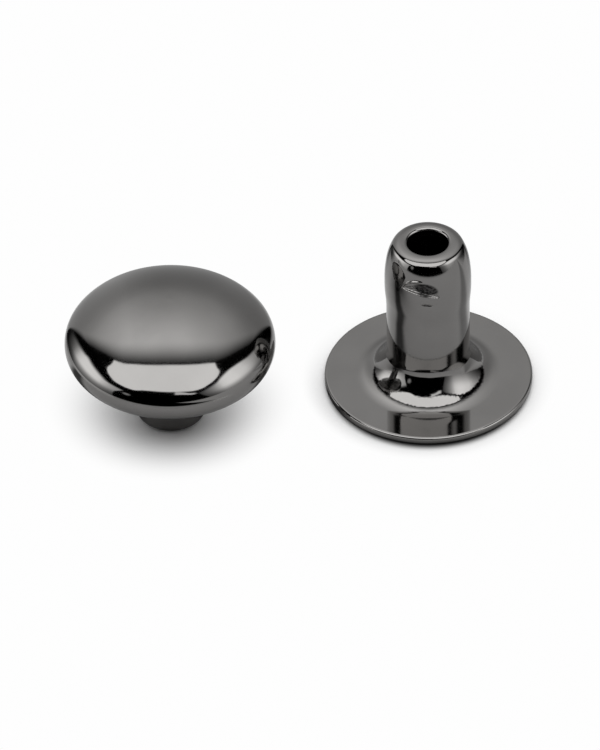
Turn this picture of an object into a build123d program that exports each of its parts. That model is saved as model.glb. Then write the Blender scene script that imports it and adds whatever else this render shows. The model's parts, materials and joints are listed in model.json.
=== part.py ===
from build123d import *
from math import copysign, cos, degrees, radians, sin, tan
import os

# Leather rivet: a domed cap and a hollow post, each drawn from sheet metal.
# Millimetres. +Z is up, both halves stand on z = 0, and both axes lie on the X axis.
# Each half is turned from a section whose local X is the radius and local Y the height.

axis_spacing = 11.2

# Cap shell: a crown, a rounded edge, and a rim rolled under the socket
cap_diameter = 9.0
shell_sheet = 0.3
upper_edge_radius = 1.15
upper_edge_angle = 36
crown_edge_radius = 2.4
crown_edge_angle = 18
lower_edge_radius = 0.97
lower_edge_angle = 42
rolled_rim_angle = 20

# Cap socket: a dished disc, with a collar drawn from its middle and a mouth turned in
socket_sheet = 0.22
disc_rim_clearance = 0.08
collar_height = 2.5
collar_diameter = 3.0
collar_root_radius = 0.45
collar_mouth_radius = 0.34
collar_mouth_bore = 2.0
disc_flat_width = 0.15

# Post flange, and the skirt that sweeps up from it to an edge round the foot of the stem
post_sheet = 0.38
flange_diameter = 8.9
flange_rim_bevel = 0.09
skirt_foot_radius = 0.7
skirt_foot_angle = 28
skirt_radius = 2.0
skirt_angle = 22
skirt_top_radius = 2.2
skirt_top_angle = 16
skirt_edge_radius = 0.12
skirt_edge_angle = 12

# Post stem: spread a little at its foot, straight, then slightly swollen, then necked to its
# pierced tip
stem_diameter = 3.56
stem_foot_radius = 2.0
straight_length = 2.1
flare_radius = 6.8
flare_angle = 5.9
swell_length = 0.2
neck_radius = 6.1
neck_angle = 10
ogive_radius = 2.53
ogive_angle = 16
tip_corner_inner_radius = 0.02
tip_corner_angle = 34
tip_crown_radius = 0.87
tip_hole_diameter = 1.73
tip_hole_bevel = 0.05

# Gouge across the front of the stem, above its widest place, like a scoop from a round tool
gouge_radius = 0.33
gouge_depth = 0.25
gouge_height = 6.5
gouge_direction = 248.5
gouge_slant = 11

quarter_turn = 90

# A Bezier curve follows an arc when its handles are this, times radius, times tan(angle / 4)
arc_handle = 4 / 3


def upright_axis(x):
    """The axis of the half that stands at x."""
    return Axis((x, 0, 0), (0, 0, 1))


def half_section(x):
    """The plane in which the section of the half at x is drawn."""
    return Plane(origin=(x, 0, 0), x_dir=(1, 0, 0), z_dir=(0, -1, 0))


def draw_fold(start, heading, radius, angle):
    """Draw an arc as a Bezier curve: a tight fold's turned face then takes half the facets."""
    arc = JernArc(start, heading, radius, angle, mode=Mode.PRIVATE)
    handle = arc_handle * tan(radians(abs(angle)) / 4) * radius
    return Bezier(arc @ 0, arc @ 0 + arc % 0 * handle, arc @ 1 - arc % 1 * handle, arc @ 1)


def draw_face(start, heading, runs, depth):
    """Draw the line of the runs, moved to its left by depth, and return its two ends.

    A run is a straight (length, 0) or a bend (radius, angle), which turns left if positive.
    """
    way = Vector(*heading)
    face_start = Vector(*start) + way.rotate(Axis.Z, quarter_turn) * depth
    place = face_start
    for size, angle in runs:
        if angle == 0:
            run = Line(place, place + way * size)
        elif abs(angle) == quarter_turn:
            run = draw_fold(place, way, size - copysign(depth, angle), angle)
        else:
            run = JernArc(place, way, size - copysign(depth, angle), angle)
        place, way = run @ 1, run % 1
    return face_start, place


def bend_reach(runs):
    """How far a line that starts level travels level along the runs, which are all bends."""
    turned, reach = 0, 0
    for radius, angle in runs:
        reach += radius * (sin(radians(turned + abs(angle))) - sin(radians(turned)))
        turned += abs(angle)
    return reach


def draw_sheet(start, heading, runs, sheet):
    """Draw a bent sheet: the face along the runs, the face to its left, and both ends."""
    face_start, face_end = draw_face(start, heading, runs, 0)
    back_start, back_end = draw_face(start, heading, runs, sheet)
    Line(face_start, back_start)
    Line(face_end, back_end)


# The disc of the socket lies against the inner face of the rolled rim, and the bottom of its
# dish is level with the top of the collar, so both sheets bend about one centre.
cap_x = -axis_spacing / 2
cap_radius = cap_diameter / 2
collar_radius = collar_diameter / 2
roll = radians(lower_edge_angle)
rim_end = radians(lower_edge_angle + rolled_rim_angle)
dish_center_radius = collar_radius + collar_root_radius + disc_flat_width
rolled_rim_radius = lower_edge_radius + (cap_radius - lower_edge_radius - dish_center_radius) / cos(roll)
dish_radius = rolled_rim_radius - shell_sheet
dish_center_height = collar_height + dish_radius

upper_edge = radians(upper_edge_angle)
crown_edge = radians(upper_edge_angle + crown_edge_angle)
crown_radius_at_edge = (
    cap_radius
    - upper_edge_radius * (1 - cos(upper_edge))
    - crown_edge_radius * (cos(upper_edge) - cos(crown_edge))
)
crown_radius = crown_radius_at_edge / cos(crown_edge)

shell_start = (
    dish_center_radius + rolled_rim_radius * cos(rim_end),
    dish_center_height - rolled_rim_radius * sin(rim_end),
)
shell_runs = [
    (rolled_rim_radius, rolled_rim_angle),
    (lower_edge_radius, lower_edge_angle),
    (upper_edge_radius, upper_edge_angle),
    (crown_edge_radius, crown_edge_angle),
    (crown_radius, quarter_turn - upper_edge_angle - crown_edge_angle),
]
with BuildPart() as cap_shell:
    with BuildSketch(half_section(cap_x)):
        with BuildLine():
            draw_sheet(shell_start, (sin(rim_end), cos(rim_end)), shell_runs, shell_sheet)
        make_face()
    revolve(axis=upright_axis(cap_x))

disc_rim_angle = quarter_turn - lower_edge_angle - degrees(disc_rim_clearance / dish_radius)
socket_runs = [
    (collar_radius - collar_mouth_radius - collar_mouth_bore / 2, 0),
    (collar_mouth_radius, quarter_turn),
    (collar_height - collar_mouth_radius - collar_root_radius, 0),
    (collar_root_radius, -quarter_turn),
    (disc_flat_width, 0),
    (dish_radius, disc_rim_angle),
]
with BuildPart() as cap_socket:
    with BuildSketch(half_section(cap_x)):
        with BuildLine():
            draw_sheet((collar_mouth_bore / 2, 0), (1, 0), socket_runs, socket_sheet)
        make_face()
    revolve(axis=upright_axis(cap_x))

# The outer face of the post, from the flange's rim up to the hole in the tip
post_x = axis_spacing / 2
flange_radius = flange_diameter / 2
stem_radius = stem_diameter / 2
swell_radius = stem_radius + 2 * flare_radius * (1 - cos(radians(flare_angle)))
stem_foot_angle = quarter_turn - skirt_foot_angle - skirt_angle - skirt_top_angle - skirt_edge_angle
skirt_runs = [
    (skirt_foot_radius, -skirt_foot_angle),
    (skirt_radius, -skirt_angle),
    (skirt_top_radius, -skirt_top_angle),
    (skirt_edge_radius, -skirt_edge_angle),
    (stem_foot_radius, -stem_foot_angle),
]
tip_corner_radius = post_sheet + tip_corner_inner_radius
neck_end = radians(neck_angle)
ogive_end = radians(neck_angle + ogive_angle)
corner_end = radians(neck_angle + ogive_angle + tip_corner_angle)
tip_crown_reach = (
    swell_radius
    - neck_radius * (1 - cos(neck_end))
    - ogive_radius * (cos(neck_end) - cos(ogive_end))
    - tip_corner_radius * (cos(ogive_end) - cos(corner_end))
    - tip_crown_radius * cos(corner_end)
)
post_runs = [
    (flange_radius - stem_radius - bend_reach(skirt_runs), 0),
    *skirt_runs,
    (straight_length, 0),
    (flare_radius, -flare_angle),
    (flare_radius, flare_angle),
    (swell_length, 0),
    (neck_radius, neck_angle),
    (ogive_radius, ogive_angle),
    (tip_corner_radius, tip_corner_angle),
    (tip_crown_radius, quarter_turn - neck_angle - ogive_angle - tip_corner_angle),
    (tip_crown_reach - tip_hole_diameter / 2, 0),
]
with BuildPart() as post:
    with BuildSketch(half_section(post_x)) as post_section:
        with BuildLine():
            draw_sheet((flange_radius, post_sheet), (-1, 0), post_runs, post_sheet)
        make_face()
        chamfer(post_section.vertices().group_by(Axis.X)[0], tip_hole_bevel)
        chamfer(post_section.vertices().group_by(Axis.X)[-1], flange_rim_bevel)
    revolve(axis=upright_axis(post_x))
    outward = Vector(1, 0, 0).rotate(Axis.Z, gouge_direction)
    sideways = outward.rotate(Axis.Z, quarter_turn)
    gouge_center = Vector(post_x, 0, gouge_height) + outward * (swell_radius + gouge_radius - gouge_depth)
    gouge_plane = Plane(gouge_center, x_dir=outward, z_dir=sideways)
    with BuildSketch(gouge_plane.rotated((gouge_slant, 0, 0))):
        Circle(gouge_radius)
    extrude(amount=swell_radius, both=True, mode=Mode.SUBTRACT)

cap_shell.part.label = "cap_shell"
cap_socket.part.label = "cap_socket"
post.part.label = "post"

os.makedirs("parts", exist_ok=True)
export_step(cap_shell.part, "parts/cap_shell.step")
export_step(cap_socket.part, "parts/cap_socket.step")
export_step(post.part, "parts/post.step")
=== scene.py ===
import json
from math import cos, degrees, radians, sin

import bpy
import numpy as np
from bpy.props import FloatProperty, FloatVectorProperty, PointerProperty
from bpy.types import Operator, Panel, PropertyGroup
from mathutils import Euler, Matrix, Vector


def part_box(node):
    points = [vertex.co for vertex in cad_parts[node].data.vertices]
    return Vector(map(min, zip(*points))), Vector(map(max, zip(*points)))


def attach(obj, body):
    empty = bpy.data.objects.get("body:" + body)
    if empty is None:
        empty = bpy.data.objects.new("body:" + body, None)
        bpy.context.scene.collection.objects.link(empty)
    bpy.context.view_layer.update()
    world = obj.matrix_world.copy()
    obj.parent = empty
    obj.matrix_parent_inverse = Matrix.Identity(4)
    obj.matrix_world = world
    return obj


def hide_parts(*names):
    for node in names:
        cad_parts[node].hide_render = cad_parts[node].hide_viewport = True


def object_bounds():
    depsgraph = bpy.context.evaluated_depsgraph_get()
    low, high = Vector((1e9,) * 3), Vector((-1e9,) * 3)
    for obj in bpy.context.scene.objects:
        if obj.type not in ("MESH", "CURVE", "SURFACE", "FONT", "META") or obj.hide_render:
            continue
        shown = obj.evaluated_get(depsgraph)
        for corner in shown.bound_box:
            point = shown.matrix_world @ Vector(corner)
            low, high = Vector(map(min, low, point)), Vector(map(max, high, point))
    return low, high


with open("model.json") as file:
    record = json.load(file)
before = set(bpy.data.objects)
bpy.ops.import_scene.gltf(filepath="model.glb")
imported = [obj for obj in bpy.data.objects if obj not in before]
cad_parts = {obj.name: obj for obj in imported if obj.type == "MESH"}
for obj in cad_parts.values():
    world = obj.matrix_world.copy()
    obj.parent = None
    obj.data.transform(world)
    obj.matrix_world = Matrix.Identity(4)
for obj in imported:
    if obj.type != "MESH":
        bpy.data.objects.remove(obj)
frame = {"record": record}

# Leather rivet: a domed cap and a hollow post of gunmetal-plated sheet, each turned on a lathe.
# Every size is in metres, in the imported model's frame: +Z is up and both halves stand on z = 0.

bl_info = {
    "name": "Leather rivet",
    "version": (1, 0, 0),
    "blender": (4, 5, 0),
    "location": "3D View > Sidebar > Rivet",
    "description": "Builds the domed cap and hollow post of a leather rivet, and their studio",
    "category": "Add Mesh",
}

MM = 0.001
QUARTER_TURN = 90
FULL_TURN = 360
BODY = "root"
PLATING_COLOUR = tuple(frame["record"]["materials"][0]["base_color"][:3])
CAD_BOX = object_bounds()

# How finely the sheets are sampled
TURN_STEP = 3
STRAIGHT_STEP = 0.25 * MM
FINE_STEP = 0.022 * MM
CAP_COLUMN_STEP = 2
POST_COLUMN_STEP = 3
GOUGE_COLUMN_STEP = 0.5
GOUGE_REACH = 40

# How fine the plating's noises are, in marks along a metre
CLOUD_SCALE, HAZE_SCALE, SWELL_SCALE, PEBBLE_SCALE = 420.0, 2600.0, 900.0, 9000.0

# The marks beside the gouge: place round the stem and height from the gouge's, half sizes and depths
NICK_TURN, NICK_RISE, NICK_SLOPE = 0.3 * MM, -0.5 * MM, 0.1
NICK_HALF_WIDTH, NICK_HALF_HEIGHT = 0.24 * MM, 0.035 * MM
DENT_HALF_WIDTH, DENT_HALF_HEIGHT, DENT_DEPTH = 0.3 * MM, 0.22 * MM, 0.012 * MM
BURR_LIFT, BURR_HALF_WIDTH = 0.02 * MM, 0.045 * MM
TEAR_DEPTH = 0.006 * MM
TORN_OFFSET, TORN_DEPTH = 0.2 * MM, 0.4 * MM

# The strongest overhead light, at which the open floor receives a level of 1
FLOOR_LIGHT = 1.68

# A reflected ray starts this far from the post's axis. It comes from the post if it starts high up
POST_RAY_START = 1.7 * MM
LOW_RAY, HIGH_RAY = 4 * MM, 5.2 * MM

# Between which places the reflected floor fades out: right of the cap, behind both, and far in front
CAP_SIDE_FADE = (3 * MM, 5.5 * MM)
BACK_FADE = (4 * MM, 16 * MM)
FRONT_FADE = (-150 * MM, -35 * MM)
REACH_SPREAD = 0.08

# Painted shade on the floor round the flange's rim, darkest just under it: its middle in front of the axis,
# where it fades, and its darkest tone
RIM_SHADE_AHEAD = 0.4 * MM
RIM_SHADE_FADE = (4.0 * MM, 4.5 * MM)
RIM_SHADE_TONE = 0.06
# How far behind the cap's axis the painted white over its shadow is centred
CAP_SHADOW_BEHIND = 0.8 * MM

# Painted dark streaks in the stem's reflection: strips of floor darkened only for reflected rays, which the
# stem's sides reflect:
# side, place behind the post's axis, half widths of the core and the edge in millimetres, and depth
PAINTED_DARK_STRIPS = ((-1, -1.5, 0.5, 2.0, 0.85), (1, 1.2, 0.6, 2.6, 0.45))


def length(name, description, value):
    """A length that the user can change, in millimetres here and metres in the scene."""
    return FloatProperty(
        name=name,
        description=description,
        default=value * MM,
        min=0,
        subtype="DISTANCE",
        unit="LENGTH",
        precision=5,
    )


def angle(name, description, value):
    """An angle that the user can change, in degrees here and radians in the scene."""
    return FloatProperty(
        name=name, description=description, default=radians(value), subtype="ANGLE", unit="ROTATION"
    )


def factor(name, description, value, highest=1):
    """A plain number that the user can change."""
    return FloatProperty(name=name, description=description, default=value, min=0, max=highest, precision=3)


class RivetCapSettings(PropertyGroup):
    """Sizes of the domed cap and of the socket clamped in it"""

    shell_sheet: length("Shell sheet", "Thickness of the shell's sheet", 0.3)
    upper_edge_radius: length("Upper edge", "Radius of the edge above the widest place", 1.15)
    upper_edge_angle: angle("Upper edge turn", "How far the upper edge turns", 36)
    crown_edge_radius: length("Crown edge", "Radius between the edge and the crown", 2.4)
    crown_edge_angle: angle("Crown edge turn", "How far the crown's edge turns", 18)
    lower_edge_radius: length("Lower edge", "Radius of the edge below the widest place", 0.97)
    lower_edge_angle: angle("Lower edge turn", "How far the lower edge turns", 42)
    rolled_rim_angle: angle("Rolled rim turn", "How far the rolled rim runs in under the socket", 20)
    socket_sheet: length("Socket sheet", "Thickness of the socket's sheet", 0.22)
    disc_rim_clearance: length("Disc clearance", "How far the disc stops short of the edge's bend", 0.08)
    collar_height: length("Collar height", "Height of the collar under the disc", 2.5)
    collar_diameter: length("Collar diameter", "Outside diameter of the collar", 3.0)
    collar_root_radius: length("Collar root", "Radius where the collar leaves the disc", 0.45)
    collar_mouth_radius: length("Collar mouth", "Radius of the collar's turned-in mouth", 0.34)
    collar_mouth_bore: length("Mouth bore", "Diameter of the hole in the mouth", 2.0)
    disc_flat_width: length("Disc flat", "Flat of the disc between the root and the dish", 0.15)
    edge_rounding: length("Edge rounding", "Rounding of the sheets' cut edges", 0.06)


class RivetPostSettings(PropertyGroup):
    """Sizes of the post and of the marks on its stem"""

    sheet: length("Sheet", "Thickness of the post's sheet", 0.38)
    rim_rounding: length("Rim rounding", "Rounding of the flange's rim", 0.12)
    skirt_foot_radius: length("Skirt foot", "Radius where the flange turns up into the skirt", 1.1)
    skirt_foot_angle: angle("Skirt foot turn", "How far the skirt's foot turns", 30)
    skirt_radius: length("Skirt", "Radius of the skirt's lower sweep", 1.15)
    skirt_angle: angle("Skirt turn", "How far the skirt's lower sweep turns", 21)
    skirt_top_radius: length("Skirt top", "Radius of the skirt's upper sweep", 2.63)
    skirt_top_angle: angle("Skirt top turn", "How far the skirt's upper sweep turns", 19)
    skirt_edge_radius: length("Skirt edge", "Radius of the edge between the skirt and the stem", 0.1)
    skirt_edge_angle: angle("Skirt edge turn", "How far the skirt's edge turns", 8)
    stem_diameter: length("Stem diameter", "Diameter of the straight stem", 3.56)
    stem_foot_radius: length("Stem foot", "Radius by which the stem spreads at its foot", 2.0)
    straight_length: length("Straight length", "Length of the straight stem", 2.044)
    flare_radius: length("Flare radius", "Radius of the two gentle bends that swell the stem", 6.8)
    flare_angle: angle("Flare turn", "How far each gentle bend turns", 5.9)
    swell_length: length("Swell length", "Length of the stem's widest stretch", 0.2)
    neck_radius: length("Neck radius", "Radius of the first bend towards the tip", 6.1)
    neck_angle: angle("Neck turn", "How far the first bend turns", 10)
    ogive_radius: length("Ogive radius", "Radius of the second bend towards the tip", 2.53)
    ogive_angle: angle("Ogive turn", "How far the second bend turns", 16)
    tip_corner_radius: length("Tip corner", "Radius of the tip's corner", 0.4)
    tip_corner_angle: angle("Tip corner turn", "How far the tip's corner turns", 34)
    tip_crown_radius: length("Tip crown", "Radius of the tip's rounded top", 0.64)
    tip_hole_diameter: length("Tip hole", "Diameter of the hole in the tip", 1.73)
    tip_hole_rounding: length("Hole rounding", "Rounding of the hole's lip", 0.17)
    gouge_direction: angle("Gouge direction", "Direction of the gouge's middle, seen from above", 248.5)
    gouge_height: length("Gouge height", "Height of the gouge's lower edge above the floor", 6.07)
    gouge_slant: angle("Gouge slant", "How steeply the gouge falls to the right", 11)
    gouge_half_length: length("Gouge half length", "Half of the gouge's length round the stem", 0.85)
    gouge_width: length("Gouge width", "Width of the gouge at its middle", 0.64)
    gouge_depth: length("Gouge depth", "Depth of the gouge", 0.13)
    burr_height: length("Burr height", "Height of the metal pushed up at the gouge's left end", 0.05)
    nick_depth: length("Nick depth", "Depth of the small nick under the gouge", 0.035)


class RivetFinishSettings(PropertyGroup):
    """Colour and surface of the plating"""

    colour: FloatVectorProperty(
        name="Colour",
        description="Colour of the plating",
        default=PLATING_COLOUR,
        min=0,
        max=1,
        size=3,
        subtype="COLOR",
    )
    roughness: factor("Roughness", "Roughness of the polished plating", 0.07)
    ripple: length("Ripple", "Height of the plating's faint ripple", 0.0006)
    grain: length("Grain", "Height of the fine grain where the sheet was drawn", 0.0035)


class RivetStageSettings(PropertyGroup):
    """Camera, floor and studio light"""

    camera_azimuth: angle("Camera azimuth", "Direction of the camera round the rivet", -10.3)
    camera_elevation: angle("Camera elevation", "Height of the camera above the horizon", 39.83)
    camera_roll: angle("Camera roll", "Turn of the camera about its own axis", 0.63)
    camera_distance: length("Camera distance", "Distance from the camera to its target", 1026)
    camera_lens: factor("Lens", "Focal length in millimetres", 1152, highest=5000)
    floor_colour: factor("Floor colour", "Grey level of the floor", 0.97)
    # Painted shade: the floor takes this darker grey only where metal reflects it
    mirrored_floor_shade: factor("Mirrored floor shade", "Grey level of the reflected floor", 0.7)
    floor_half_width: length("Floor half width", "Half of the floor's width", 600)
    # Beyond these places white is painted over each half's shadow, as painted light
    cap_shadow_start: length("Cap shadow start", "Where the cap's shadow starts to fade", 1.9)
    cap_shadow_end: length("Cap shadow end", "Where the cap's shadow is gone", 5.6)
    post_shadow_start: length("Post shadow start", "Where the post's shadow starts to fade", 4.5)
    post_shadow_end: length("Post shadow end", "Where the post's shadow is gone", 5.5)
    front_floor_reach: length("Front floor reach", "How far from the cap it still reflects the floor", 11.6)


def turned(vector, degrees_left):
    """The flat vector turned to the left."""
    c, s = cos(radians(degrees_left)), sin(radians(degrees_left))
    return (vector[0] * c - vector[1] * s, vector[0] * s + vector[1] * c)


def sheet_outline(runs, sheet, near_rounding, far_rounding):
    """The runs of one face of a bent sheet, round its far end, and back along its other face.

    A run is a straight (length, 0) or a bend (radius, degrees), which turns left if positive.
    The other face lies to the left. A rounding of None leaves that end open, on the axis.
    """
    outline = list(runs)
    if far_rounding is None:
        return outline
    outline += rounded_end(sheet, far_rounding)
    for size, turn in reversed(runs):
        inset = 0 if turn == 0 else (sheet if turn > 0 else -sheet)
        outline.append((size - inset, -turn))
    if near_rounding is not None:
        outline += rounded_end(sheet, near_rounding)
    return outline


def rounded_end(sheet, rounding):
    """The runs round the cut edge of a sheet."""
    return [(rounding, QUARTER_TURN), (sheet - 2 * rounding, 0), (rounding, QUARTER_TURN)]


def trace(start, heading, outline, fine_band=None):
    """Points along an outline, as rows of radius, height, and the surface's outward normal.

    The solid lies to the left. Where the line climbs through the fine band it is sampled finely.
    """
    place, way = start, heading
    rows = []
    for size, turn in outline:
        span = size if turn == 0 else abs(radians(turn)) * size
        end_height = place[1] + way[1] * span
        fine = fine_band and way[1] > 0.5 and place[1] < fine_band[1] and end_height > fine_band[0]
        if fine:
            count = max(2, round(span / FINE_STEP))
        elif turn == 0:
            count = max(1, round(span / STRAIGHT_STEP))
        else:
            count = max(3, round(abs(turn) / TURN_STEP))
        if turn == 0:
            for step in range(count):
                reach = size * step / count
                rows.append((place[0] + way[0] * reach, place[1] + way[1] * reach, way[1], -way[0]))
            place = (place[0] + way[0] * size, place[1] + way[1] * size)
        else:
            side = 1 if turn > 0 else -1
            center = (place[0] - way[1] * size * side, place[1] + way[0] * size * side)
            arm = (place[0] - center[0], place[1] - center[1])
            for step in range(count):
                spoke = turned(arm, turn * step / count)
                ahead = turned(way, turn * step / count)
                rows.append((center[0] + spoke[0], center[1] + spoke[1], ahead[1], -ahead[0]))
            spoke = turned(arm, turn)
            place, way = (center[0] + spoke[0], center[1] + spoke[1]), turned(way, turn)
    return np.array(rows), place, way


def bend_reach(runs):
    """How far a line that starts level travels level along the runs, which are all bends."""
    turned_so_far, reach = 0, 0
    for radius, turn in runs:
        turn_end = turned_so_far + abs(turn)
        reach += radius * (sin(radians(turn_end)) - sin(radians(turned_so_far)))
        turned_so_far = turn_end
    return reach


def lathe(name, axis_x, rows, columns, closed, relief=None):
    """A piece turned about the upright axis at axis_x, with normals that follow its curves.

    relief gives how far the surface stands out, from an array of angles and one of heights.
    """
    radius, height, normal_r, normal_z = (rows[:, i][:, None] for i in range(4))
    across, along = np.cos(columns)[None, :], np.sin(columns)[None, :]

    def place(radii, heights, cosines, sines):
        return np.stack([axis_x + radii * cosines, radii * sines, heights + 0 * cosines], -1)

    points = place(radius, height, across, along)
    normals = np.stack([normal_r * across, normal_r * along, normal_z + 0 * across], -1)
    if relief:
        out = relief(columns[None, :], height, normal_r)
        step = 1e-4
        by_turn = (relief(columns[None, :] + step, height, normal_r) - out) / step
        by_turn = by_turn / np.maximum(radius, MM)
        rise = 1e-4 * MM
        by_rise = (relief(columns[None, :], height + rise, normal_r) - out) / rise
        points = points + normals * out[..., None]
        round_way = np.stack([-along + 0 * radius, across + 0 * radius, 0 * out], -1)
        rise_way = np.stack([-normal_z * across, -normal_z * along, normal_r + 0 * across], -1)
        normals = normals - round_way * by_turn[..., None] - rise_way * by_rise[..., None]
        normals /= np.linalg.norm(normals, axis=-1)[..., None]
    row_count, column_count = points.shape[:2]
    index = np.arange(row_count * column_count).reshape(row_count, column_count)
    lower = index if closed else index[:-1]
    upper = np.roll(index, -1, axis=0) if closed else index[1:]
    quads = np.stack([lower, np.roll(lower, -1, axis=1), np.roll(upper, -1, axis=1), upper], -1)
    mesh = bpy.data.meshes.new(name)
    mesh.from_pydata(points.reshape(-1, 3).tolist(), [], quads.reshape(-1, 4).tolist())
    mesh.shade_smooth()
    mesh.normals_split_custom_set_from_vertices(normals.reshape(-1, 3).tolist())
    mesh.update()
    if mesh.validate(verbose=True):
        raise RuntimeError(f"{name} came out with broken faces")
    piece = bpy.data.objects.new(name, mesh)
    bpy.context.scene.collection.objects.link(piece)
    return piece


def dress(piece, node, material):
    """The piece stands for its CAD node, and rides and is finished as the node is."""
    piece.data.materials.append(material)
    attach(piece, BODY)
    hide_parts(node)


def middle_x(node):
    """Where the upright axis of a round node stands."""
    low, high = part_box(node)
    return (low.x + high.x) / 2


def even_columns(step):
    """Angles all the way round, a step of that many degrees apart."""
    return np.radians(np.arange(0, FULL_TURN, step))


def post_columns(gouge_direction):
    """Angles all the way round, close together across the gouge."""
    middle = degrees(gouge_direction)
    near = np.arange(middle - GOUGE_REACH, middle + GOUGE_REACH, GOUGE_COLUMN_STEP)
    far = np.arange(middle + GOUGE_REACH, middle - GOUGE_REACH + FULL_TURN, POST_COLUMN_STEP)
    return np.radians(np.concatenate([near, far]))


def smooth(value, low, high):
    """0 below low, 1 above high, and a smooth rise between."""
    share = np.clip((value - low) / (high - low), 0, 1)
    return share * share * (3 - 2 * share)


def stem_relief(post, stem_radius):
    """How far the marks on the stem stand out of it: the gouge, its burr, the nick and its dent."""

    def relief(angles, heights, outward):
        turn = (angles - post.gouge_direction) * stem_radius
        rise = heights - post.gouge_height
        right = turn * cos(post.gouge_slant) - rise * sin(post.gouge_slant)
        up = rise * cos(post.gouge_slant) + turn * sin(post.gouge_slant)
        share = np.clip(1 - (right / post.gouge_half_length) ** 2, 0, 1)
        width = post.gouge_width * np.sqrt(share) + 1e-9
        across = np.clip(up / width, -0.2, 1.2)
        # Steep up from the straight lower edge, gentle under the arched upper one, and torn within
        scoop = smooth(across, 0.0, 0.16) * (1 - smooth(across, 0.2, 1.04))
        ragged = np.sin(right / (0.034 * MM) + 2.1 * np.sin(up / (0.05 * MM)))
        tear = ragged * np.sin(up / (0.029 * MM) + right / (0.11 * MM))
        gouge = -(post.gouge_depth + TEAR_DEPTH * tear) * scoop * np.sqrt(share)
        left = smooth(-right, -0.1 * MM, 0.45 * MM) * (1 - smooth(-right, 0.75 * MM, 0.95 * MM))
        lip = np.exp(-(((up - width - BURR_LIFT) / BURR_HALF_WIDTH) ** 2))
        burr = post.burr_height * left * lip
        nick_turn = turn - NICK_TURN
        nick_rise = rise - NICK_RISE + nick_turn * NICK_SLOPE
        nick = np.exp(-((nick_rise / NICK_HALF_HEIGHT) ** 2) - (nick_turn / NICK_HALF_WIDTH) ** 2)
        dent = np.exp(-((nick_rise / DENT_HALF_HEIGHT) ** 2) - (nick_turn / DENT_HALF_WIDTH) ** 2)
        marks = gouge + burr - post.nick_depth * nick - DENT_DEPTH * dent
        return np.where(outward > 0.5, marks, 0.0)

    return relief


def add_node(tree, kind, inputs=None, **settings):
    """A node with its settings and inputs, where an input is a value or another node's output."""
    node = tree.nodes.new(kind)
    for name, value in settings.items():
        setattr(node, name, value)
    for name, value in (inputs or {}).items():
        if isinstance(value, bpy.types.NodeSocket):
            tree.links.new(value, node.inputs[name])
        else:
            node.inputs[name].default_value = value
    return node


def sum_up(tree, operation, *values):
    """One sum of the tree."""
    return add_node(tree, "ShaderNodeMath", dict(enumerate(values)), operation=operation).outputs[0]


def ramp(tree, value, low, high, start=0.0, end=1.0):
    """A smooth change from start to end as the value goes from low to high."""
    inputs = {"Value": value, "From Min": low, "From Max": high, "To Min": start, "To Max": end}
    return add_node(tree, "ShaderNodeMapRange", inputs, interpolation_type="SMOOTHSTEP").outputs["Result"]


def curve(tree, value, low, high, points):
    """The value read off a smooth curve through the points, given as (value, result).

    The points at low and high come first, and the rest in any order.
    """
    share = add_node(tree, "ShaderNodeMapRange", {"Value": value, "From Min": low, "From Max": high})
    node = add_node(tree, "ShaderNodeFloatCurve", {"Value": share.outputs["Result"]})
    line = node.mapping.curves[0]
    results = [result for _, result in points]
    bottom, top = min(results), max(results)
    for index, (place, result) in enumerate(points):
        spot = ((place - low) / (high - low), (result - bottom) / (top - bottom))
        if index < 2:
            line.points[index].location = spot
        else:
            line.points.new(*spot)
    node.mapping.update()
    inputs = {"Value": node.outputs["Value"], "To Min": bottom, "To Max": top}
    return add_node(tree, "ShaderNodeMapRange", inputs).outputs["Result"]


def plating_group():
    """The plating's effect: how its tone, roughness and height change over the surface."""
    group = bpy.data.node_groups.new("Plating", "ShaderNodeTree")
    for way, names in (
        ("INPUT", ("Colour", "Roughness", "Ripple", "Grain", "Grain Mask", "Torn Mask")),
        ("OUTPUT", ("Colour", "Roughness", "Height")),
    ):
        for name in names:
            kind = "NodeSocketColor" if name == "Colour" else "NodeSocketFloat"
            group.interface.new_socket(name, in_out=way, socket_type=kind)
    given = group.nodes.new("NodeGroupInput").outputs
    place = add_node(group, "ShaderNodeTexCoord").outputs["Object"]
    cloud = add_node(group, "ShaderNodeTexNoise", {"Vector": place, "Scale": CLOUD_SCALE, "Detail": 3.0})
    haze = add_node(group, "ShaderNodeTexNoise", {"Vector": place, "Scale": HAZE_SCALE, "Detail": 4.0})
    swell = add_node(group, "ShaderNodeTexNoise", {"Vector": place, "Scale": SWELL_SCALE, "Detail": 1.0})
    pebble = add_node(group, "ShaderNodeTexNoise", {"Vector": place, "Scale": PEBBLE_SCALE, "Detail": 2.0})
    tone = ramp(group, cloud.outputs["Fac"], 0.3, 0.7, 0.96, 1.04)
    # Within the gouge's floor the metal is rougher, and its colour darker and mottled
    mottle = ramp(group, pebble.outputs["Fac"], 0.4, 0.6, 0.75, 1.0)
    lost = sum_up(group, "MULTIPLY", given["Torn Mask"], mottle)
    tone = sum_up(group, "MULTIPLY", tone, sum_up(group, "SUBTRACT", 1.0, lost))
    colour = add_node(group, "ShaderNodeVectorMath", {0: given["Colour"]}, operation="SCALE")
    group.links.new(tone, colour.inputs["Scale"])
    wear = ramp(group, haze.outputs["Fac"], 0.35, 0.7, 0.92, 1.12)
    polish = sum_up(group, "MULTIPLY", given["Roughness"], wear)
    rough = sum_up(group, "MULTIPLY_ADD", given["Torn Mask"], 0.12, polish)
    grain = sum_up(group, "MULTIPLY", pebble.outputs["Fac"], given["Grain"])
    grain = sum_up(group, "MULTIPLY", grain, given["Grain Mask"])
    height = sum_up(group, "MULTIPLY_ADD", swell.outputs["Fac"], given["Ripple"], grain)
    results = {"Colour": colour.outputs["Vector"], "Roughness": rough, "Height": height}
    add_node(group, "NodeGroupOutput", results)
    return group


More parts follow.
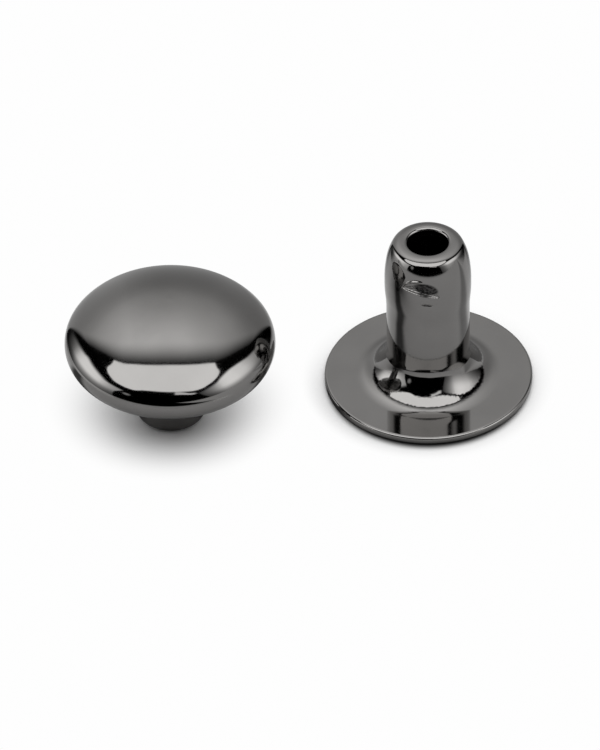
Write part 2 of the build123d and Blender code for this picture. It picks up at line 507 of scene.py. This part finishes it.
def plating(name, finish, grain_band=None, torn=None):
    """A plated finish. Its grain shows only in the band, given as lowest and highest place.

    torn gives the location, rotation and scale of the ball that holds the torn metal.
    """
    material = bpy.data.materials.new(name)
    material.use_nodes = True
    tree = material.node_tree
    tree.nodes.clear()
    group = bpy.data.node_groups.get("Plating") or plating_group()
    inputs = {
        "Colour": (*finish.colour, 1),
        "Roughness": finish.roughness,
        "Ripple": finish.ripple,
        "Grain": finish.grain,
    }
    effect = add_node(tree, "ShaderNodeGroup", node_tree=group)
    for key, value in inputs.items():
        effect.inputs[key].default_value = value
    if grain_band:
        place = add_node(tree, "ShaderNodeTexCoord").outputs["Object"]
        height = add_node(tree, "ShaderNodeSeparateXYZ", {"Vector": place}).outputs["Z"]
        low, high = grain_band
        fade = (high - low) / 3
        above, below = ramp(tree, height, low, low + fade), ramp(tree, height, high - fade, high, 1.0, 0.0)
        mask = sum_up(tree, "MULTIPLY", above, below)
        tree.links.new(mask, effect.inputs["Grain Mask"])
    if torn:
        place = add_node(tree, "ShaderNodeTexCoord").outputs["Object"]
        inputs = {"Vector": place, **dict(zip(("Location", "Rotation", "Scale"), torn))}
        within = add_node(tree, "ShaderNodeMapping", inputs, vector_type="TEXTURE").outputs["Vector"]
        reach = add_node(tree, "ShaderNodeVectorMath", {0: within}, operation="LENGTH").outputs["Value"]
        tree.links.new(ramp(tree, reach, 0.75, 1.0, 0.95, 0.0), effect.inputs["Torn Mask"])
    bump_inputs = {"Height": effect.outputs["Height"], "Strength": 1.0, "Distance": 1.0}
    bump = add_node(tree, "ShaderNodeBump", bump_inputs)
    shader_inputs = {
        "Base Color": effect.outputs["Colour"],
        "Roughness": effect.outputs["Roughness"],
        "Metallic": 1.0,
        "Normal": bump.outputs["Normal"],
    }
    shader = add_node(tree, "ShaderNodeBsdfPrincipled", shader_inputs)
    add_node(tree, "ShaderNodeOutputMaterial", {"Surface": shader.outputs["BSDF"]})
    return material


class RIVET_OT_cap_shell(Operator):
    """Builds the cap's domed shell, with its rim rolled under the socket"""

    bl_idname = "rivet.cap_shell"
    bl_label = "Cap shell"

    def execute(self, context):
        cap, finish = context.scene.rivet_cap, context.scene.rivet_finish
        low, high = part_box("cap_shell")
        cap_radius = (high.x - low.x) / 2
        center, rim_radius = dish(cap, cap_radius)
        rim_end = cap.lower_edge_angle + cap.rolled_rim_angle
        start = (center[0] + rim_radius * cos(rim_end), center[1] - rim_radius * sin(rim_end))
        crown_edge = cap.upper_edge_angle + cap.crown_edge_angle
        crown_reach = (
            cap_radius
            - cap.upper_edge_radius * (1 - cos(cap.upper_edge_angle))
            - cap.crown_edge_radius * (cos(cap.upper_edge_angle) - cos(crown_edge))
        )
        runs = [
            (rim_radius, degrees(cap.rolled_rim_angle)),
            (cap.lower_edge_radius, degrees(cap.lower_edge_angle)),
            (cap.upper_edge_radius, degrees(cap.upper_edge_angle)),
            (cap.crown_edge_radius, degrees(cap.crown_edge_angle)),
            (crown_reach / cos(crown_edge), QUARTER_TURN - degrees(crown_edge)),
        ]
        face, top, _ = trace(start, (sin(rim_end), cos(rim_end)), runs)
        back = [(size - cap.shell_sheet, -turn) for size, turn in reversed(runs)]
        under = (0.0, top[1] - cap.shell_sheet)
        hidden, _, _ = trace(under, (1.0, 0.0), back + rounded_end(cap.shell_sheet, cap.edge_rounding))
        apex = np.array([(0.0, top[1], 0.0, 1.0), (0.0, under[1], 0.0, -1.0)])
        rows = np.concatenate([hidden[1:], face, apex[:1]])
        rows = np.concatenate([apex[1:], rows])
        columns = even_columns(CAP_COLUMN_STEP)
        piece = lathe("Cap_shell", middle_x("cap_shell"), rows, columns, closed=False)
        dress(piece, "cap_shell", plating("Polished gunmetal", finish))
        return {"FINISHED"}


def dish(cap, cap_radius):
    """The common center of the socket's dish and the shell's rolled rim, and the rim's radius."""
    center_radius = cap.collar_diameter / 2 + cap.collar_root_radius + cap.disc_flat_width
    spread = (cap_radius - cap.lower_edge_radius - center_radius) / cos(cap.lower_edge_angle)
    rim_radius = cap.lower_edge_radius + spread
    return (center_radius, cap.collar_height + rim_radius - cap.shell_sheet), rim_radius


class RIVET_OT_cap_socket(Operator):
    """Builds the cap's dished socket, with the collar drawn from its middle"""

    bl_idname = "rivet.cap_socket"
    bl_label = "Cap socket"

    def execute(self, context):
        cap, finish = context.scene.rivet_cap, context.scene.rivet_finish
        low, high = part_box("cap_shell")
        _, rim_radius = dish(cap, (high.x - low.x) / 2)
        dish_radius = rim_radius - cap.shell_sheet
        collar_radius = cap.collar_diameter / 2
        clearance = degrees((cap.disc_rim_clearance + cap.edge_rounding) / dish_radius)
        runs = [
            (collar_radius - cap.collar_mouth_radius - cap.collar_mouth_bore / 2 - cap.edge_rounding, 0),
            (cap.collar_mouth_radius, QUARTER_TURN),
            (cap.collar_height - cap.collar_mouth_radius - cap.collar_root_radius, 0),
            (cap.collar_root_radius, -QUARTER_TURN),
            (cap.disc_flat_width, 0),
            (dish_radius, QUARTER_TURN - degrees(cap.lower_edge_angle) - clearance),
        ]
        outline = sheet_outline(runs, cap.socket_sheet, cap.edge_rounding, cap.edge_rounding)
        rows, _, _ = trace((cap.collar_mouth_bore / 2 + cap.edge_rounding, 0.0), (1.0, 0.0), outline)
        columns = even_columns(CAP_COLUMN_STEP)
        piece = lathe("Cap_socket", middle_x("cap_socket"), rows, columns, closed=True)
        dress(piece, "cap_socket", plating("Drawn gunmetal", finish))
        return {"FINISHED"}


class RIVET_OT_post(Operator):
    """Builds the hollow post, with the gouge and the nick on its stem"""

    bl_idname = "rivet.post"
    bl_label = "Post"

    def execute(self, context):
        post, finish = context.scene.rivet_post, context.scene.rivet_finish
        low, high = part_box("post")
        flange_radius = (high.x - low.x) / 2
        stem_radius = post.stem_diameter / 2
        swell_radius = stem_radius + 2 * post.flare_radius * (1 - cos(post.flare_angle))
        ogive_end = post.neck_angle + post.ogive_angle
        corner_end = ogive_end + post.tip_corner_angle
        crown_reach = (
            swell_radius
            - post.neck_radius * (1 - cos(post.neck_angle))
            - post.ogive_radius * (cos(post.neck_angle) - cos(ogive_end))
            - post.tip_corner_radius * (cos(ogive_end) - cos(corner_end))
            - post.tip_crown_radius * cos(corner_end)
        )
        skirt = [
            (post.skirt_foot_radius, -degrees(post.skirt_foot_angle)),
            (post.skirt_radius, -degrees(post.skirt_angle)),
            (post.skirt_top_radius, -degrees(post.skirt_top_angle)),
            (post.skirt_edge_radius, -degrees(post.skirt_edge_angle)),
        ]
        skirt.append((post.stem_foot_radius, -QUARTER_TURN - sum(turn for _, turn in skirt)))
        runs = [
            (flange_radius - post.rim_rounding - stem_radius - bend_reach(skirt), 0),
            *skirt,
            (post.straight_length, 0),
            (post.flare_radius, -degrees(post.flare_angle)),
            (post.flare_radius, degrees(post.flare_angle)),
            (post.swell_length, 0),
            (post.neck_radius, degrees(post.neck_angle)),
            (post.ogive_radius, degrees(post.ogive_angle)),
            (post.tip_corner_radius, degrees(post.tip_corner_angle)),
            (post.tip_crown_radius, QUARTER_TURN - degrees(corner_end)),
            (crown_reach - post.tip_hole_diameter / 2 - post.tip_hole_rounding, 0),
        ]
        fine_band = (post.gouge_height - 0.8 * MM, post.gouge_height + 1.0 * MM)
        outline = sheet_outline(runs, post.sheet, post.rim_rounding, post.tip_hole_rounding)
        start = (flange_radius - post.rim_rounding, post.sheet)
        rows, _, _ = trace(start, (-1.0, 0.0), outline, fine_band)
        columns = post_columns(post.gouge_direction)
        relief = stem_relief(post, swell_radius)
        piece = lathe("Post", middle_x("post"), rows, columns, closed=True, relief=relief)
        grain_band = (post.sheet, post.sheet + post.skirt_foot_radius / 2)
        dress(piece, "post", plating("Formed gunmetal", finish, grain_band, torn_ball(post, swell_radius)))
        return {"FINISHED"}


def torn_ball(post, stem_radius):
    """The location, rotation and scale of the ball that holds the gouge's torn floor."""
    turn, slant = post.gouge_direction, post.gouge_slant
    rotation = Euler((0, slant, turn + radians(QUARTER_TURN)))
    offset = Vector((TORN_OFFSET, 0, post.gouge_width / 2))
    offset.rotate(rotation)
    edge = Vector((middle_x("post") + stem_radius * cos(turn), stem_radius * sin(turn), post.gouge_height))
    return edge + offset, rotation, (0.8 * post.gouge_half_length, TORN_DEPTH, 0.6 * post.gouge_width)


class RIVET_OT_stage(Operator):
    """Builds the pale floor, the studio light and the camera"""

    bl_idname = "rivet.stage"
    bl_label = "Stage"

    def execute(self, context):
        stage = context.scene.rivet_stage
        build_floor(stage)
        build_world(context.scene, stage)
        build_camera(context.scene, stage)
        context.scene.view_settings.view_transform = "Standard"
        return {"FINISHED"}


def build_floor(stage):
    """A white floor, with white painted over its shadow away from each half, as painted light. What metal
    reflects of it is painted greyer, as painted shade.

    In front of the cap the reflected floor ends, and the dark space beyond it shows. The post's tip,
    whose reflected rays start higher up, still reflects the floor there.
    """
    half = stage.floor_half_width
    mesh = bpy.data.meshes.new("Floor")
    corners = [(-half, -half, 0), (half, -half, 0), (half, half, 0), (-half, half, 0)]
    mesh.from_pydata(corners, [], [(0, 1, 2, 3)])
    material = bpy.data.materials.new("White floor")
    material.use_nodes = True
    tree = material.node_tree
    tree.nodes.clear()
    place = add_node(tree, "ShaderNodeTexCoord").outputs["Object"]

    right = Vector((cos(stage.camera_azimuth), sin(stage.camera_azimuth), 0))
    back = Vector((-right.y, right.x, 0))
    cap_foot, foot = Vector((middle_x("cap_shell"), 0, 0)), Vector((middle_x("post"), 0, 0))

    def reach(middle):
        inputs = {0: place, 1: middle}
        return add_node(tree, "ShaderNodeVectorMath", inputs, operation="DISTANCE").outputs["Value"]

    cap_shadow = reach(cap_foot + back * CAP_SHADOW_BEHIND)
    cap_fade = ramp(tree, cap_shadow, stage.cap_shadow_start, stage.cap_shadow_end)
    post_fade = ramp(tree, reach(foot), stage.post_shadow_start, stage.post_shadow_end)
    rays = add_node(tree, "ShaderNodeLightPath").outputs
    # Painted light: for camera rays, white is painted over the floor and its shadow, more the farther from
    # each half
    painted_white_share = sum_up(tree, "MINIMUM", cap_fade, post_fade)
    painted_white_share = sum_up(tree, "MULTIPLY", painted_white_share, rays["Is Camera Ray"])

    def along(direction):
        inputs = {0: place, 1: direction}
        return add_node(tree, "ShaderNodeVectorMath", inputs, operation="DOT_PRODUCT").outputs["Value"]

    rightward, backward = along(right), along(back)
    cap_side = ramp(tree, rightward, *CAP_SIDE_FADE, 1.0, 0.0)
    inner, outer = (stage.front_floor_reach * (1 + side * REACH_SPREAD) for side in (-1, 1))
    past_reach = ramp(tree, reach(cap_foot), inner, outer)
    past_back = ramp(tree, backward, *BACK_FADE)
    # The height from which a ray of this length came, squared, if it left the post's stem
    ray = rays["Ray Length"]
    run = sum_up(tree, "SUBTRACT", reach(foot), POST_RAY_START)
    lift = sum_up(tree, "SUBTRACT", sum_up(tree, "MULTIPLY", ray, ray), sum_up(tree, "MULTIPLY", run, run))
    from_cap = ramp(tree, lift, LOW_RAY**2, HIGH_RAY**2, 1.0, 0.0)
    past_front = ramp(tree, backward, *FRONT_FADE, 1.0, 0.0)
    opening = sum_up(tree, "MULTIPLY", sum_up(tree, "MULTIPLY", past_reach, cap_side), from_cap)
    beyond = sum_up(tree, "MAXIMUM", sum_up(tree, "MAXIMUM", opening, past_front), past_back)
    beyond = sum_up(tree, "MULTIPLY", beyond, rays["Is Glossy Ray"])
    # Painted shade: what metal reflects of the floor is darker than the floor itself
    tone = ramp(tree, rays["Is Glossy Ray"], 0.0, 1.0, stage.floor_colour, stage.mirrored_floor_shade)
    # Painted shade: the floor's colour is darkened round the flange's rim, more in front
    painted_rim_shade = ramp(tree, reach(foot - back * RIM_SHADE_AHEAD), *RIM_SHADE_FADE, RIM_SHADE_TONE, 1.0)
    outward = sum_up(tree, "SUBTRACT", rightward, right.dot(foot))
    # Painted dark reflection: each strip darkens the floor only where the stem's sides reflect it
    for side, behind, core, edge, depth in PAINTED_DARK_STRIPS:
        offset = sum_up(tree, "ABSOLUTE", sum_up(tree, "SUBTRACT", backward, back.dot(foot) + behind * MM))
        along_side = ramp(tree, sum_up(tree, "MULTIPLY", outward, side), 2 * MM, 3.5 * MM, 0.0, depth)
        strip = sum_up(tree, "MULTIPLY", ramp(tree, offset, core * MM, edge * MM, 1.0, 0.0), along_side)
        strip = sum_up(tree, "MULTIPLY", strip, rays["Is Glossy Ray"])
        tone = sum_up(tree, "MULTIPLY", tone, sum_up(tree, "SUBTRACT", 1.0, strip))
    tone = sum_up(tree, "MULTIPLY", tone, painted_rim_shade)
    matt = add_node(tree, "ShaderNodeBsdfDiffuse", {"Color": tone})
    white = add_node(tree, "ShaderNodeEmission", {"Color": (1, 1, 1, 1), "Strength": 0.99})
    clear = add_node(tree, "ShaderNodeBsdfTransparent")
    seen = add_node(tree, "ShaderNodeMixShader", {0: painted_white_share, 1: matt.outputs[0], 2: white.outputs[0]})
    surface = add_node(tree, "ShaderNodeMixShader", {0: beyond, 1: seen.outputs[0], 2: clear.outputs[0]})
    add_node(tree, "ShaderNodeOutputMaterial", {"Surface": surface.outputs[0]})
    mesh.materials.append(material)
    floor = bpy.data.objects.new("Floor", mesh)
    bpy.context.scene.collection.objects.link(floor)


def build_world(scene, stage):
    """A white studio. Metal reflects its soft box overhead, its cards, and the dark space in front.

    Azimuth is in degrees, 0 in front and positive to the right. Elevation is in degrees.
    """
    world = bpy.data.worlds.new("Studio")
    world.use_nodes = True
    tree = world.node_tree
    tree.nodes.clear()
    way = add_node(tree, "ShaderNodeTexCoord").outputs["Generated"]
    inputs = {"Vector": way, "Angle": -stage.camera_azimuth}
    facing = add_node(tree, "ShaderNodeVectorRotate", inputs, rotation_type="Z_AXIS")
    parts = add_node(tree, "ShaderNodeSeparateXYZ", {"Vector": facing.outputs["Vector"]}).outputs
    front = sum_up(tree, "MULTIPLY", parts["Y"], -1.0)
    azimuth = sum_up(tree, "DEGREES", sum_up(tree, "ARCTAN2", parts["X"], front))
    elevation = sum_up(tree, "DEGREES", sum_up(tree, "ARCSINE", parts["Z"]))

    def times(*values):
        product = values[0]
        for value in values[1:]:
            product = sum_up(tree, "MULTIPLY", product, value)
        return product

    def turn_curve(points):
        return curve(tree, azimuth, -180, 180, points)

    def rise_curve(points):
        return curve(tree, elevation, -90, 90, points)

    def past(value, border, low, high):
        return ramp(tree, sum_up(tree, "SUBTRACT", value, border), low, high)

    def short_of(value, border, low, high):
        return ramp(tree, sum_up(tree, "SUBTRACT", value, border), low, high, 1.0, 0.0)

    # The overhead soft box, laid out on the flat map that shows the horizon as a circle of radius 1
    spread = sum_up(tree, "MAXIMUM", sum_up(tree, "ADD", parts["Z"], 1.0), 0.02)
    ahead = sum_up(tree, "MULTIPLY", sum_up(tree, "DIVIDE", parts["Y"], spread), -1.0)
    aside = sum_up(tree, "DIVIDE", parts["X"], spread)
    front_edge = curve(tree, sum_up(tree, "ABSOLUTE", aside), 0, 1, [
        (0, 0.0875), (1, -2.6), (0.13, 0.075), (0.236, 0.0417), (0.315, 0), (0.41, -0.11),
        (0.512, -0.296), (0.609, -0.511), (0.6875, -0.75), (0.732, -1.008),
    ])
    inside = sum_up(tree, "SUBTRACT", front_edge, ahead)
    glow = rise_curve([
        (-90, 0.36), (90, 1.64), (0, 0.38), (14, 0.4), (23, 0.48), (31, 0.62), (38, 0.74), (46, 0.86),
        (59, 1.12), (70, 1.42), (79, 1.62),
    ])
    lean = curve(tree, aside, -1, 1, [
        (-1, 1.45), (1, 1.0), (-0.5, 1.47), (-0.33, 1.48), (-0.2, 1.28), (-0.1, 1.08), (0, 1.0),
        (0.15, 1.0), (0.3, 1.08), (0.5, 1.02),
    ])
    overhead = times(glow, lean, ramp(tree, inside, -0.035, 0.17), ramp(tree, inside, -0.006, 0.004))

    # The front card, between the overhead box's edge and its own lower edge
    bottom = turn_curve([
        (-180, 62), (180, 62), (-97, 51), (-85, 38.75), (-72, 32), (-60, 29.5), (-45, 30), (-30, 35.5),
        (-15, 38), (0, 38.2), (15, 37), (30, 35), (45, 37.8), (60, 42.5), (70, 47.5), (83, 57.5),
        (105, 62),
    ])
    front_card = times(ramp(tree, inside, -0.024, -0.012, 1.0, 0.0), past(elevation, bottom, -0.7, 0.7), 2.4)

    # The left card, brightest in its middle
    left_end = rise_curve([
        (-90, -60), (90, -42), (-17, -60), (0, -58), (7.5, -55), (17.5, -49.5), (30, -43),
    ])
    left_top = turn_curve([
        (-180, -30), (180, -30), (-135, 0), (-126, 9), (-118, 14.5), (-110, 19), (-102, 22.5),
        (-86, 22.5), (-70, 20.5), (-55, 18), (-40, 12), (0, -30),
    ])
    left_across = turn_curve([
        (-180, 0), (180, 0), (-142, 0.05), (-134, 0.2), (-126, 0.4), (-118, 1.1), (-110, 2.2),
        (-102, 2.6), (-86, 2.7), (-74, 2.15), (-62, 1.35), (-54, 1.1), (-40, 0.9), (0, 0),
    ])
    left_up = rise_curve([
        (-90, 0.1), (90, 1), (-20, 0.14), (-13, 0.22), (-8, 0.33), (-3, 0.52), (2, 0.78), (6, 0.94),
        (10, 1),
    ])
    left_shape = times(short_of(azimuth, left_end, -0.7, 0.7), short_of(elevation, left_top, -3.5, 3.0))
    left_card = times(left_across, left_up, left_shape)

    # The right card, brightest high up
    right_end = rise_curve([
        (-90, 46), (90, 26), (-20, 43.8), (-2.5, 40), (7.5, 36), (17.5, 32.5), (30, 30),
    ])
    right_top = turn_curve([
        (-180, -30), (180, -30), (0, 0), (30, 26), (38, 30), (46, 32), (54, 34), (62, 37.5), (70, 39.5),
        (78, 40), (86, 38), (94, 34), (102, 28), (110, 23), (118, 16), (130, 0),
    ])
    right_across = turn_curve([
        (-180, 0), (180, 0), (0, 0), (30, 0.15), (38, 0.38), (46, 0.8), (54, 1.65), (62, 2.45), (70, 2.6),
        (80, 2.45), (88, 2.3), (94, 1.9), (102, 1.25), (110, 0.78), (118, 0.4), (126, 0.12), (134, 0),
    ])
    right_up = rise_curve([
        (-90, 0.12), (90, 1), (-13, 0.15), (-8, 0.18), (-3, 0.25), (2, 0.36), (6, 0.48), (10, 0.63),
        (14, 0.8), (18, 0.92), (24, 1),
    ])
    right_shape = times(past(azimuth, right_end, -0.7, 0.7), short_of(elevation, right_top, -2.5, 2.5))
    right_card = times(right_across, right_up, right_shape)

    # Two small glints in the dark space: a slanted strip at the upper right and a spot at the left
    strip_middle = turn_curve([(-180, 34.5), (180, 26.5), (5, 34.5), (28, 27.5)])
    strip_rise = sum_up(tree, "ABSOLUTE", sum_up(tree, "SUBTRACT", elevation, strip_middle))
    strip_ends = (ramp(tree, azimuth, 4, 6), ramp(tree, azimuth, 24, 29, 1.0, 0.0))
    strip = times(ramp(tree, strip_rise, 2.2, 3.6, 1.0, 0.0), *strip_ends, 1.7)
    spot_turn = sum_up(tree, "SUBTRACT", azimuth, -45.0)
    spot_rise = sum_up(tree, "SUBTRACT", elevation, 8.0)
    spot_reach = sum_up(tree, "ADD", times(spot_turn, spot_turn), times(spot_rise, spot_rise))
    spot = ramp(tree, spot_reach, 0.0, 30.0, 0.6, 0.0)

    # Below the horizon, the floor far from the rivet
    below = ramp(tree, elevation, -21.5, -18.5, 1.0, 0.0)
    low_tone = turn_curve([(-180, 0.4), (180, 0.4), (-150, 0.45), (-110, 0.64), (110, 0.64), (150, 0.45)])
    behind = turn_curve([(-180, 0), (180, 0), (-150, 0), (-125, 1), (125, 1), (150, 0)])
    low_floor = times(below, low_tone, behind)

    studio = overhead
    for light in (front_card, left_card, right_card, strip, spot, low_floor):
        studio = sum_up(tree, "ADD", studio, light)
    # The floor is lit from overhead and a little from behind
    backward = sum_up(tree, "MULTIPLY_ADD", parts["Z"], 0.87, sum_up(tree, "MULTIPLY", parts["Y"], 0.5))
    soft_light = ramp(tree, backward, 0.05, 1.0, 0.0, FLOOR_LIGHT)
    glossy = add_node(tree, "ShaderNodeLightPath").outputs["Is Glossy Ray"]
    strength = add_node(tree, "ShaderNodeMix", {0: glossy, 2: soft_light, 3: studio}).outputs[0]
    light = add_node(tree, "ShaderNodeBackground", {"Color": (1, 1, 1, 1), "Strength": strength})
    add_node(tree, "ShaderNodeOutputWorld", {"Surface": light.outputs[0]})
    scene.world = world


def build_camera(scene, stage):
    """A far camera with a long lens, turned about its own axis by the roll."""
    turn, rise, roll = stage.camera_azimuth, stage.camera_elevation, stage.camera_roll
    back = Vector((sin(turn) * cos(rise), -cos(turn) * cos(rise), sin(rise)))
    level = Vector((cos(turn), sin(turn), 0))
    upright = back.cross(level)
    right = level * cos(roll) - upright * sin(roll)
    up = upright * cos(roll) + level * sin(roll)
    camera = bpy.data.objects.new("Camera", bpy.data.cameras.new("Camera"))
    camera.data.lens = stage.camera_lens
    camera.data.clip_start, camera.data.clip_end = 0.01, 10
    low, high = CAD_BOX
    target = Vector(((low.x + high.x) / 2 + 0.03 * MM, 0, 0)) + up * 0.848 * MM
    place = target + back * stage.camera_distance
    camera.matrix_world = Matrix.Translation(place) @ Matrix((right, up, back)).transposed().to_4x4()
    scene.collection.objects.link(camera)
    scene.camera = camera


class RIVET_PT_panel(Panel):
    """The rivet's pieces and settings"""

    bl_label = "Leather rivet"
    bl_idname = "RIVET_PT_panel"
    bl_space_type = "VIEW_3D"
    bl_region_type = "UI"
    bl_category = "Rivet"

    def draw(self, context):
        for operator in OPERATORS:
            self.layout.operator(operator.bl_idname)
        for name in SETTINGS:
            box = self.layout.box()
            settings = getattr(context.scene, name)
            for key in settings.__annotations__:
                box.prop(settings, key)


SETTINGS = {
    "rivet_cap": RivetCapSettings,
    "rivet_post": RivetPostSettings,
    "rivet_finish": RivetFinishSettings,
    "rivet_stage": RivetStageSettings,
}
OPERATORS = (RIVET_OT_cap_shell, RIVET_OT_cap_socket, RIVET_OT_post, RIVET_OT_stage)


def register():
    """Makes the settings, operators and panel known to Blender."""
    for name, settings in SETTINGS.items():
        bpy.utils.register_class(settings)
        setattr(bpy.types.Scene, name, PointerProperty(type=settings))
    for operator in OPERATORS:
        bpy.utils.register_class(operator)
    bpy.utils.register_class(RIVET_PT_panel)


def unregister():
    """Takes back what register did."""
    bpy.utils.unregister_class(RIVET_PT_panel)
    for operator in reversed(OPERATORS):
        bpy.utils.unregister_class(operator)
    for name, settings in SETTINGS.items():
        delattr(bpy.types.Scene, name)
        bpy.utils.unregister_class(settings)


def main():
    """Builds the rivet and its stage."""
    register()
    bpy.ops.rivet.cap_shell()
    bpy.ops.rivet.cap_socket()
    bpy.ops.rivet.post()
    bpy.ops.rivet.stage()


if __name__ == "__main__":
    main()
